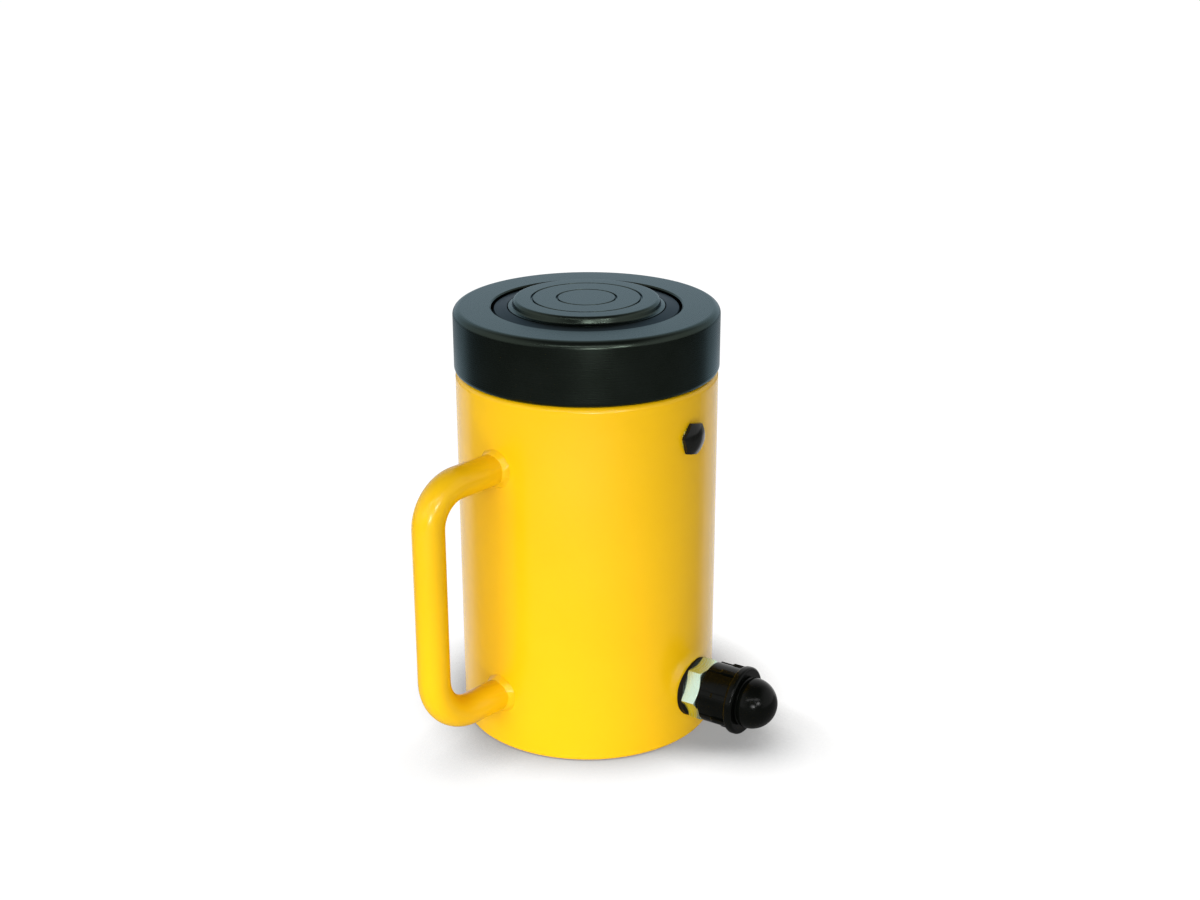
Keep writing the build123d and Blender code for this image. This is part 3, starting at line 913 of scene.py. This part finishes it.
def weld_bead(node):
    """A lumpy sloping ring of weld metal where one leg of the handle meets the wall."""
    low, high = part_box(node)
    centre = upright * (low.z + high.z) / 2
    outline = [(radius * MM, body_radius + rise * MM) for radius, rise in bead_section]
    bead = turned_piece(node + "_bead", outline, centre, handle_line, steps=120)
    side = handle_line.cross(upright)
    for corner in bead.data.vertices:
        off = corner.co.dot(side)
        corner.co -= handle_line * (body_radius - (body_radius**2 - off**2) ** 0.5)
    apply_modifier(
        bead, "DISPLACE", texture=bead_texture, texture_coords="LOCAL", strength=1.3 * MM,
        mid_level=0.5,
    )
    return bead


for node in ("handle_weld_lower", "handle_weld_upper"):
    finish_piece(weld_bead(node), node, "cylinder", smooth_angle=60)

# %% [markdown]
# ## Studio
# The photograph is a product shot: a white sweep without a horizon and a wide, low soft light in
# front, a little to the left. Places in the studio are given as the camera sees them: across, away
# and above, in metres.

# %% Camera's frame
view_azimuth = 33.6


def camera_frame_point(x, y, z):
    """A point given in metres across, away from and above, as the camera's azimuth sees it."""
    turn = radians(view_azimuth)
    return Vector((x * cos(turn) - y * sin(turn), x * sin(turn) + y * cos(turn), z))


# %% [markdown]
# The floor is white to the eye, apart from a soft shadow where the jack stands close to it, which
# comes from ambient occlusion: one measure close to the base, and one that looks towards the key
# light. In gloss it is a sheet of white paper that widens behind the jack and is dim beyond its
# edges and far away, which gives the enamel its pale outer bands. To all other light it is a plain
# matt sheet.

# %% The floor's shadow and its paper
def open_share(tree):
    """How much of the white the eye gets, from 1 in the open down to 0.28 under the jack."""
    touching = add_node(tree, "ShaderNodeAmbientOcclusion", samples=8, Distance=35 * MM)
    cast = add_node(tree, "ShaderNodeAmbientOcclusion", samples=8, Distance=55 * MM)
    towards_key = add_node(tree, "ShaderNodeCombineXYZ")
    for slot, value in enumerate(camera_frame_point(-0.24, -0.66, 0.71)):
        towards_key.inputs[slot].default_value = value
    join(tree, towards_key.outputs[0], cast.inputs["Normal"])
    contact = remap(tree, touching.outputs["AO"], 1.0, 0.0, 0.0, 0.5)
    shadow = remap(tree, cast.outputs["AO"], 1.0, 0.0, 0.0, 1.45)
    hidden = calculate(tree, "MINIMUM", calculate(tree, "ADD", contact, shadow), 0.72)
    return calculate(tree, "SUBTRACT", 1.0, hidden)


def paper_share(tree, place):
    """How white the floor is in gloss: full on the paper, less past its edges and far away."""
    slope, front_edge = 0.677, 0.0885
    as_seen = tree.nodes.new("ShaderNodeMapping")
    as_seen.inputs["Rotation"].default_value = (0, 0, -radians(view_azimuth))
    join(tree, place, as_seen.inputs["Vector"])
    parts = tree.nodes.new("ShaderNodeSeparateXYZ")
    join(tree, as_seen.outputs[0], parts.inputs[0])
    aside = calculate(tree, "MULTIPLY", calculate(tree, "ABSOLUTE", parts.outputs["X"]), slope)
    depth = calculate(tree, "ADD", parts.outputs["Y"], front_edge)
    inside = calculate(tree, "SUBTRACT", depth, aside)
    between = remap(tree, inside, -0.03, 0.03, 0.25, 1.0)
    reach = add_node(tree, "ShaderNodeVectorMath", operation="LENGTH")
    join(tree, place, reach.inputs[0])
    near = remap(tree, reach.outputs["Value"], 0.72, 0.88, 1.0, 0.45)
    return calculate(tree, "MULTIPLY", between, near)


# %% Floor
def white_floor():
    """White to the eye under the jack's shadow, paper to gloss and matt to other light."""
    material, tree, shader, place = start_material("white_floor")
    tree.nodes.remove(shader)
    rays = tree.nodes.new("ShaderNodeLightPath")
    to_camera = rays.outputs["Is Camera Ray"]
    open_sky = open_share(tree)
    paper = paper_share(tree, place)

    gloss = calculate(
        tree, "MAXIMUM", rays.outputs["Is Glossy Ray"], rays.outputs["Is Transmission Ray"]
    )
    seen = calculate(tree, "MAXIMUM", to_camera, gloss)
    level = calculate(tree, "ADD", to_camera, calculate(tree, "MULTIPLY", gloss, paper))
    glow = add_node(tree, "ShaderNodeEmission", Color=(1, 1, 1, 1))
    join(tree, calculate(tree, "MULTIPLY", level, open_sky), glow.inputs["Strength"])
    shaded = add_node(tree, "ShaderNodeBsdfDiffuse", Color=(0.08, 0.08, 0.08, 1))
    to_the_eye = tree.nodes.new("ShaderNodeAddShader")
    join(tree, glow.outputs[0], to_the_eye.inputs[0])
    join(tree, shaded.outputs[0], to_the_eye.inputs[1])
    matt = add_node(tree, "ShaderNodeBsdfDiffuse", Color=(0.78, 0.78, 0.78, 1))
    either = tree.nodes.new("ShaderNodeMixShader")
    join(tree, seen, either.inputs[0])
    join(tree, matt.outputs[0], either.inputs[1])
    join(tree, to_the_eye.outputs[0], either.inputs[2])
    join(tree, either.outputs[0], tree.nodes["Material Output"].inputs["Surface"])
    return material


bpy.ops.object.select_all(action="DESELECT")
bpy.ops.mesh.primitive_plane_add(size=12.0, location=(0, 0, 0))
floor = bpy.context.object
floor.name = "floor"
floor.data.materials.append(white_floor())

# %% [markdown]
# The room is white where it is seen. In gloss it is white behind the jack and to both sides, and
# dim in front. As a light it is a plain soft fill.

# %% World
def studio_world(fill, dim):
    """A white room with a soft fill, dim in gloss on the photographer's side."""
    world = bpy.data.worlds.new("studio")
    bpy.context.scene.world = world
    world.use_nodes = True
    tree = world.node_tree
    background = tree.nodes["Background"]
    rays = tree.nodes.new("ShaderNodeLightPath").outputs
    direction = tree.nodes.new("ShaderNodeTexCoord").outputs["Generated"]
    behind, left, right = (0, 1, 0), (-1, 0, 0), (1, 0, 0)
    sides = []
    for towards, start, full in ((behind, 0.2, 0.7), (left, 0.35, 0.75), (right, 0.5, 0.8)):
        facing = add_node(tree, "ShaderNodeVectorMath", operation="DOT_PRODUCT")
        join(tree, direction, facing.inputs[0])
        facing.inputs[1].default_value = camera_frame_point(*towards)
        sides.append(remap(tree, facing.outputs["Value"], start, full, dim, 1.0))
    mirrored = calculate(tree, "MAXIMUM", calculate(tree, "MAXIMUM", sides[0], sides[1]), sides[2])
    glossy = calculate(tree, "MULTIPLY", rays["Is Glossy Ray"], mirrored)
    seen = calculate(tree, "MAXIMUM", rays["Is Camera Ray"], rays["Is Transmission Ray"])
    special = calculate(tree, "MAXIMUM", seen, rays["Is Glossy Ray"])
    plain = calculate(tree, "MULTIPLY", calculate(tree, "SUBTRACT", 1.0, special), fill)
    strongest = calculate(tree, "MAXIMUM", seen, glossy)
    join(tree, calculate(tree, "ADD", strongest, plain), background.inputs["Strength"])
    background.inputs["Color"].default_value = (1, 1, 1, 1)


studio_world(fill=0.2, dim=0.15)


# %% [markdown]
# The key light is a wide soft panel in front and a little to the left, not much higher than the
# camera. A softer one behind keeps the colours as they are written from the back too. A small card
# close to the floor throws some light back at the foot of the cylinder, which is its brightest
# part. Gloss shows none of them: it shows two small lamps instead, which put the crisp spots on the
# cap's dome, and a long thin one, which draws a line along the rims.

# %% Lights
middle = upright * body_height / 2
foot = camera_frame_point(-0.05, -0.2, -0.02)


def soft_light(name, place, size, power, target=middle, spread=180):
    """A rectangular soft light at a place in the camera's frame, turned to a point."""
    data = bpy.data.lights.new(name, "AREA")
    data.shape = "RECTANGLE"
    data.size, data.size_y = size
    data.energy = power
    data.spread = radians(spread)
    light = bpy.data.objects.new(name, data)
    bpy.context.scene.collection.objects.link(light)
    light.location = camera_frame_point(*place)
    light.rotation_euler = (target - light.location).to_track_quat("-Z", "Y").to_euler()
    light.visible_camera = False
    return light


key = soft_light("key", (-0.75, -2.05, 1.02), (2.9, 0.6), 46.5)
back = soft_light("back_lamp", (0.9, 1.9, 0.9), (2.0, 1.2), 26.0)
card = soft_light("low_card", (-0.1, -0.5, 0.04), (0.8, 0.06), 0.4, target=foot, spread=90)
left_lamp = soft_light("left_lamp", (0.10, -1.58, 0.35), (0.36, 0.12), 6.5)
right_lamp = soft_light("right_lamp", (0.735, -1.45, 0.67), (0.34, 0.12), 5.8)
rim_lamp = soft_light("rim_lamp", (0.03, -1.5, 1.32), (2.2, 0.12), 8.0)
for light in (key, back, card):
    light.visible_glossy = False
for light in (left_lamp, right_lamp, rim_lamp):
    light.visible_diffuse = False
print("key light", round((key.location - middle).length, 2), "m from the jack")

# %% [markdown]
# ## Camera
# The camera stands where the photograph was taken from: its height, distance, tilt and lens were
# solved from the outlines of the cylinder and the collar.

# %% Camera
camera_distance = 1.0370
camera_height = 0.5629
camera_pitch = radians(20.321)
camera_yaw = radians(0.447)
camera_roll = radians(-0.150)
focal_length = 51.84
sensor_width = 36.0

turn = Matrix.Rotation(radians(view_azimuth), 3, "Z")
ahead = Vector((
    sin(camera_yaw) * cos(camera_pitch), cos(camera_yaw) * cos(camera_pitch), -sin(camera_pitch)
))
right = Vector((cos(camera_yaw), -sin(camera_yaw), 0))
above = right.cross(ahead)
right_rolled = cos(camera_roll) * right + sin(camera_roll) * above
above_rolled = cos(camera_roll) * above - sin(camera_roll) * right
rotation = Matrix((turn @ right_rolled, turn @ above_rolled, -(turn @ ahead))).transposed()
stand = turn @ Vector((0, -camera_distance, camera_height))
camera_data = bpy.data.cameras.new("camera")
camera_data.lens = focal_length
camera_data.sensor_width = sensor_width
camera = bpy.data.objects.new("camera", camera_data)
bpy.context.scene.collection.objects.link(camera)
camera.matrix_world = Matrix.Translation(stand) @ rotation.to_4x4()
bpy.context.scene.camera = camera
bpy.context.scene.view_settings.view_transform = "Standard"
print("camera", round(stand.length, 3), "m from the base")
